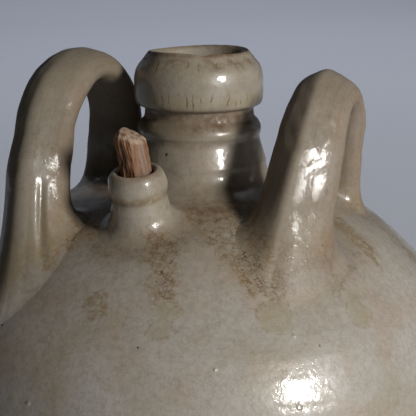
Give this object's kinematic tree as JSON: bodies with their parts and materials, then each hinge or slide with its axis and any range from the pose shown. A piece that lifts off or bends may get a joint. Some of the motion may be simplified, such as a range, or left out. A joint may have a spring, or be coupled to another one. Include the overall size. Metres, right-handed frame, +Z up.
{
  "type": "two-handled stoneware bottle",
  "caption": "Round glazed stoneware storage bottle with a collared neck, two loop handles and a small pouring spout closed by a wooden peg.",
  "frame": {"origin": "middle of the foot ring's resting plane, on the jar's axis", "axes": "+Z up along the jar's axis towards the mouth, -Y towards the pouring spout, -X towards the larger loop handle"},
  "size_m": [0.302, 0.302, 0.336],
  "materials": {
    "glaze": "glossy grey-beige glaze with stained crackle",
    "bare_stoneware": "matt unglazed fired clay",
    "peg_wood": "rough whittled wood, worn and stained"
  },
  "bodies": {
    "jug": {"base": "bare_stoneware", "lower_wall": "glaze", "shoulder": "glaze", "neck": "glaze", "spout": "glaze", "left_handle": "glaze", "right_handle": "glaze"},
    "plug": {"plug": "peg_wood"}
  },
  "joints": [
    {"name": "plug_pull", "type": "slide", "parent": "jug", "child": "plug", "axis": [0, -0.2079, 0.9781], "range_m": [0, 0.035]}
  ]
}
